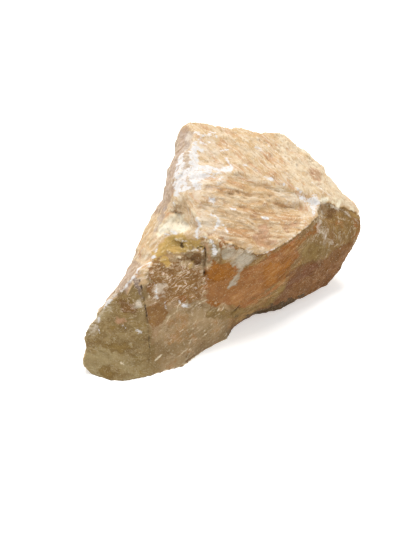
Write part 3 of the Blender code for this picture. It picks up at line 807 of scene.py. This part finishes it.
# Stains, and painted shade in some of them: the two colours that each wavers between, and how much it covers
STAINS = {
    "cream": ("#e8dabb", "#f4ead4", 0.85),
    "pink": ("#b28562", "#c49a7b", 0.65),
    "lilac": ("#a8958a", "#c6b8b0", 0.6),
    # painted shade, and real tan stains
    "tan_stain_and_shade": ("#977855", "#ab8d69", 0.6),
    "russet": ("#7f5526", "#936d3b", 0.8),
    "olive_band": ("#755a2b", "#8b703c", 0.75),
    "liver": ("#6a3f13", "#805527", 0.75),
    "rust": ("#5f300b", "#6e3c14", 0.6),
    "tawny": ("#8a5423", "#9c6936", 0.8),
    "amber": ("#865009", "#9b6013", 0.85),
    # umber: a real brown, and painted shade
    "umber_and_shade": ("#6b4a25", "#7f5a2e", 0.8),
    "yellow": ("#bc9952", "#a5884c", 0.8),
    "grey": ("#a0937c", "#b9ad9a", 0.8),
    # painted shade, grey-violet
    "crease_shade": ("#7f6c64", "#8f7d72", 0.7),
    # painted shade, dark brown
    "deep_shade": ("#3b2d14", "#4c391d", 0.85),
}
for name, (one, other, cover) in STAINS.items():
    COATS.append((one, name, 0.55, "tatter", 0.2, 0.38, cover))
    COATS.append((other, name, 1.0, "blotch", 0.36, 0.6, cover))
COATS += [
    # fibres of the banded joint, which run through its stains
    ("#6b4319", "fibrous", 1.0, "streak", 0.5, 0.66, 0.45),
    ("#bd8f56", "fibrous", 1.0, "wide_streak", 0.52, 0.66, 0.25),
    ("#cda97c", "fibrous", 1.0, "thin_streak", 0.54, 0.72, 0.4),
    ("#7a5528", None, 0.0, "speckle", 0.44, 0.3, 0.36),
    ("#dccba8", None, 0.0, "grit", 0.57, 0.72, 0.36),
    # painted shade in hollows, pale rubbed edges that are partly a painted highlight, a painted highlight on
    # ledge rims with painted shade below them, curled flecks
    # painted shade: darker where the surface lies in a hollow
    ("#83592f", None, 0.0, "fine_edge", -0.08, -0.5, 0.4),
    # pale rubbed edges: partly wear and partly a painted highlight
    ("#eadbbc", "rubbed_and_highlit", 0.3, "fine_edge", 0.06, 0.4, 0.65),
    # painted highlight on the rim of each ledge
    ("#efe3c8", "rim_highlight", 0.8, "speckle", 0.3, 0.6, 0.8),
    # painted shade at the foot of each ledge's drop
    ("#765230", "shade", 0.8, "tatter", 0.3, 0.56, 0.8),
    ("#e3cbb4", "flecked", 1.0, "curl_line", 0.2, 0.8, 0.8),
    ("#d6b999", "flecked", 0.9, "small_curl_line", 0.2, 0.9, 0.6),
    ("#c2a585", "underside_colour_and_shade", 0.8, "small_curl_line", 0.5, 1.2, 0.35),
    ("#c9ad90", "underside_colour_and_shade", 0.9, "lace", 0.55, 0.7, 0.45),
    # powder where a hammer struck, and on the edges that stand out; a painted highlight along the lip and
    # the ridge crests; painted shade in the cracks
    ("#e2d5c2", "haze", 0.3, "lace", 0.38, 0.6, 0.6),
    ("#e3e0de", "bruise", 0.32, "lace", 0.37, 0.47, 0.92),
    ("#cfb795", "bruise", 0.5, "thin_streak", 0.53, 0.62, 0.55),
    # painted highlight along the lip and the ridge crests
    ("#e6e0d8", "lip_highlight", 0.5, "speckle", 0.25, 0.5, 0.85),
    ("#e3e0de", "edge", 0.10, "lace", 0.58, 0.7, 0.6),
    # painted shade, nearly black, in the cracks and holes
    ("#2f2014", "crack_shade", 1.0, None, 0.5, 0.8, 0.9),
]
ground = colour("#8a714c")
for code, name, hold, breaking, start, full, cover in COATS:
    reach = pattern.get(breaking, 1.0)
    if name is not None:
        reach = add("ShaderNodeMath", {0: marks[name], 1: hold, 2: reach}, operation="MULTIPLY_ADD")[0]
        start += hold
        full += hold
    amount = add("ShaderNodeMapRange", {"Value": reach, "From Min": start, "From Max": full,
                                        "To Max": cover}, interpolation_type="SMOOTHSTEP")[0]
    ground = add("ShaderNodeMixRGB", {"Fac": amount, "Color1": ground, "Color2": colour(code)})[0]
tree.links.new(ground, shader.inputs["Base Color"])

# Relief too fine for the mesh: how much each pattern adds to it
FINE_RELIEF = {"crests": 0.25, "tatter": 1.0, "grit": 0.4, "streak": 0.15, "thin_streak": 0.15,
               "speckle": 0.35}
FINE_RELIEF_STRENGTH = 0.9
FINE_RELIEF_DEPTH = 1.2 * MM
BROKEN_ROUGHNESS = 0.65    # a fresh break shines a little, and powder doesn't
POWDER_ROUGHNESS = 0.9
CALCITE_SHINE = 0.2        # weathered stone reflects less than clean calcite
relief = 0.0
for name, part in FINE_RELIEF.items():
    relief = add("ShaderNodeMath", {0: pattern[name], 1: part, 2: relief}, operation="MULTIPLY_ADD")[0]
bumpy = add("ShaderNodeBump", {"Strength": FINE_RELIEF_STRENGTH, "Distance": FINE_RELIEF_DEPTH,
                               "Height": relief})[0]
tree.links.new(bumpy, shader.inputs["Normal"])
dull = add("ShaderNodeMapRange", {"Value": marks["bruise"], "To Min": BROKEN_ROUGHNESS,
                                  "To Max": POWDER_ROUGHNESS})[0]
tree.links.new(dull, shader.inputs["Roughness"])
shader.inputs["Metallic"].default_value = 0.0
shader.inputs["Specular IOR Level"].default_value = CALCITE_SHINE

stone_mesh.materials.clear()
stone_mesh.materials.append(calcite)
stone_mesh.polygons.foreach_set("use_smooth", [True] * len(stone_mesh.polygons))
outward(relieved)
stone = bpy.data.objects.new("calcite_stone", stone_mesh)
bpy.context.scene.collection.objects.link(stone)
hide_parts("calcite_block")
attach(stone, "root")

# =============================================================================================
# Floor: a very large sheet of matt white card, laid flat under the stone. It isn't part of the
# stone, and nothing is fixed to it.
# =============================================================================================
FLOOR_HALF = 30.0      # metres from its middle to its sides
CARD_ROUGHNESS = 0.9
CARD_GLOW = 0.5        # keeps the card pale beside the lit stone
WHITE = (1.0, 1.0, 1.0, 1.0)
floor_mesh = bpy.data.meshes.new("floor")
floor_mesh.from_pydata([(-FLOOR_HALF, -FLOOR_HALF, 0), (FLOOR_HALF, -FLOOR_HALF, 0),
                        (FLOOR_HALF, FLOOR_HALF, 0), (-FLOOR_HALF, FLOOR_HALF, 0)], [], [(0, 1, 2, 3)])
floor = bpy.data.objects.new("floor", floor_mesh)
bpy.context.scene.collection.objects.link(floor)
# Matt white card: no gloss, so that it shows only the stone's soft shadow
card = bpy.data.materials.new("matt_white_card")
card.use_nodes = True
card_shader = card.node_tree.nodes["Principled BSDF"]
card_shader.inputs["Base Color"].default_value = colour("#f2f2f0")
card_shader.inputs["Roughness"].default_value = CARD_ROUGHNESS
card_shader.inputs["Emission Color"].default_value = WHITE
card_shader.inputs["Emission Strength"].default_value = CARD_GLOW
floor_mesh.materials.append(card)

# =============================================================================================
# Light: a white room, and a broad soft light from above and a little behind, like a window in the
# roof. The room's wall looks as white as the card, past the card's far edge.
# =============================================================================================
ROOM_BRIGHTNESS = 0.48
KEY_STRENGTH = 3.65
KEY_WIDTH = math.radians(35)
KEY_AZIMUTH = math.radians(150)
KEY_ELEVATION = math.radians(74)

room = bpy.data.worlds.new("white_room")
room.use_nodes = True
room_nodes = room.node_tree.nodes
lit = room_nodes["Background"]
lit.inputs["Color"].default_value = WHITE
lit.inputs["Strength"].default_value = ROOM_BRIGHTNESS
wall = room_nodes.new("ShaderNodeBackground")
wall.inputs["Color"].default_value = WHITE
seen = room_nodes.new("ShaderNodeLightPath")
either = room_nodes.new("ShaderNodeMixShader")
for out, into in ((seen.outputs["Is Camera Ray"], either.inputs[0]), (lit.outputs[0], either.inputs[1]),
                  (wall.outputs[0], either.inputs[2]),
                  (either.outputs[0], room_nodes["World Output"].inputs[0])):
    room.node_tree.links.new(out, into)
bpy.context.scene.world = room
key = bpy.data.objects.new("key_light", bpy.data.lights.new("key_light", "SUN"))
key.data.energy = KEY_STRENGTH
key.data.angle = KEY_WIDTH
towards_key = Vector((math.sin(KEY_AZIMUTH) * math.cos(KEY_ELEVATION),
                      -math.cos(KEY_AZIMUTH) * math.cos(KEY_ELEVATION), math.sin(KEY_ELEVATION)))
key.rotation_euler = towards_key.to_track_quat("Z", "Y").to_euler()
bpy.context.scene.collection.objects.link(key)
bpy.context.scene.view_settings.view_transform = "Standard"
